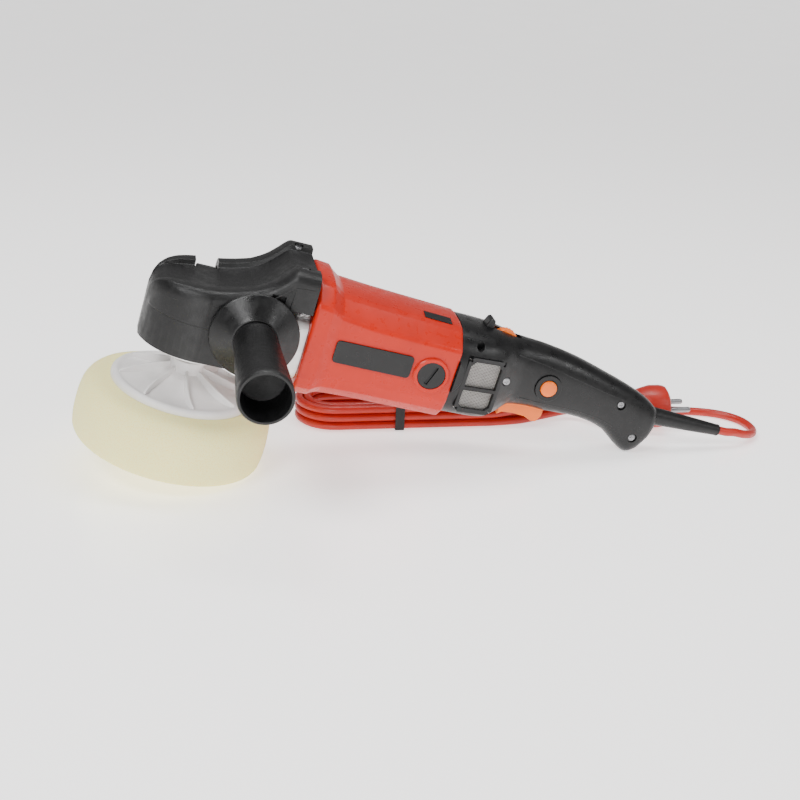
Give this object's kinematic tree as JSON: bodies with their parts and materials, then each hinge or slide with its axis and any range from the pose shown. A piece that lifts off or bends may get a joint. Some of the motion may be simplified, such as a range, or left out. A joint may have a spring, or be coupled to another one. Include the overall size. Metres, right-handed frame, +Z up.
{
  "type": "rotary polisher",
  "caption": "Corded rotary polisher with a foam pad, a geared head, a side handle and a trigger handle, lying on its pad and its handle heel.",
  "frame": {"origin": "on the floor, under the centre of the bounding box of the tool without its lead", "axes": "+X towards the rear handle, -Y towards the side handle, +Z up from the floor"},
  "size_m": [0.5882, 0.2838, 0.1753],
  "materials": {
    "red_shell": "satin moulded red",
    "black_plastic": "fine grained black",
    "black_rubber": "matt grained rubber",
    "orange_plastic": "satin orange",
    "cast_aluminium": "cast, satin",
    "steel": "bright steel",
    "copper": "enamelled copper",
    "carbon": "dull carbon",
    "grey_mesh": "woven grey filter mesh",
    "yellow_foam": "open cell polishing foam",
    "white_nylon": "white moulded nylon",
    "red_lead": "red rubber lead"
  },
  "bodies": {
    "tool": {"head_cover": "black_rubber", "gearbox_housing": "cast_aluminium", "bearing_plate": "cast_aluminium", "rail_screw_left": "steel", "rail_screw_right": "steel", "spindle_bearing_lower": "steel", "handle_guard": "black_plastic", "side_handle": "black_rubber", "handle_stud": "steel", "motor_bearing_front": "steel", "motor_bearing_rear": "steel", "stator_core": "steel", "stator_winding_front": "copper", "stator_winding_rear": "copper", "rear_bearing_bracket": "black_plastic", "brush_holder_left": "black_plastic", "brush_holder_right": "black_plastic", "carbon_brush_left": "carbon", "carbon_brush_right": "carbon", "brush_cap_left": "black_plastic", "brush_cap_right": "black_plastic", "motor_housing": "red_shell", "side_badge_left": "black_plastic", "side_badge_right": "black_plastic", "rating_label": "black_plastic", "handle_shell_left": "black_plastic", "handle_shell_right": "black_plastic", "filter_frame_left": "black_plastic", "filter_frame_right": "black_plastic", "filter_mesh_left": "grey_mesh", "filter_mesh_right": "grey_mesh", "filter_screw_left": "steel", "filter_screw_right": "steel", "handle_screw_1": "steel", "handle_screw_2": "steel", "switch_body": "black_plastic", "speed_module": "black_plastic", "lock_on_ring": "black_plastic", "dial_guard": "black_plastic", "cord_boot": "black_rubber", "lead_from_boot": "red_lead", "lead_hank": "red_lead", "hank_tie": "black_rubber", "lead_to_plug": "red_lead", "plug_body": "red_lead", "plug_pin_1": "steel", "plug_pin_2": "steel"},
    "spindle_group": {"spindle": "steel", "crown_gear": "steel", "backing_plate": "white_nylon", "foam_pad": "yellow_foam"},
    "armature": {"armature_shaft": "steel", "armature_core": "steel", "commutator": "copper", "cooling_fan": "black_plastic", "motor_pinion": "steel"},
    "trigger_lever": {"trigger": "orange_plastic"},
    "lock_on": {"lock_on_button": "orange_plastic"},
    "dial": {"speed_dial": "orange_plastic"},
    "spindle_lock": {"spindle_lock_button": "black_plastic"}
  },
  "joints": [
    {"name": "spindle_spin", "type": "hinge", "parent": "tool", "child": "spindle_group", "pos_m": [-0.15213, 0.04155, 0.07703], "axis": [0.2408, -0.06, 0.9687], "continuous": true},
    {"name": "armature_spin", "type": "hinge", "parent": "tool", "child": "armature", "pos_m": [-0.02122, 0.03795, 0.1062], "axis": [0.9705, 0, -0.2412], "continuous": true},
    {"name": "trigger_pull", "type": "hinge", "parent": "tool", "child": "trigger_lever", "pos_m": [0.10788, 0.03915, 0.05353], "axis": [-0.0145, -0.9982, -0.0582], "range_deg": [0, 6], "stiffness_Nm_per_rad": 1.5, "springref_deg": -6.88},
    {"name": "lock_on_press", "type": "slide", "parent": "tool", "child": "lock_on", "axis": [0.0145, 0.9982, 0.0582], "range_m": [0, 0.0025], "stiffness_N_per_m": 900, "springref_m": -0.002},
    {"name": "speed_dial_turn", "type": "hinge", "parent": "tool", "child": "dial", "pos_m": [0.1021, 0.03648, 0.10074], "axis": [0.0145, 0.9982, 0.0582], "range_deg": [-150, 150]},
    {"name": "spindle_lock_press", "type": "slide", "parent": "tool", "child": "spindle_lock", "axis": [-0.2408, 0.06, -0.9687], "range_m": [0, 0.003], "stiffness_N_per_m": 900, "springref_m": -0.002}
  ],
  "couplings": [
    {"joint": "armature_spin", "follows": "spindle_spin", "ratio": 3}
  ]
}
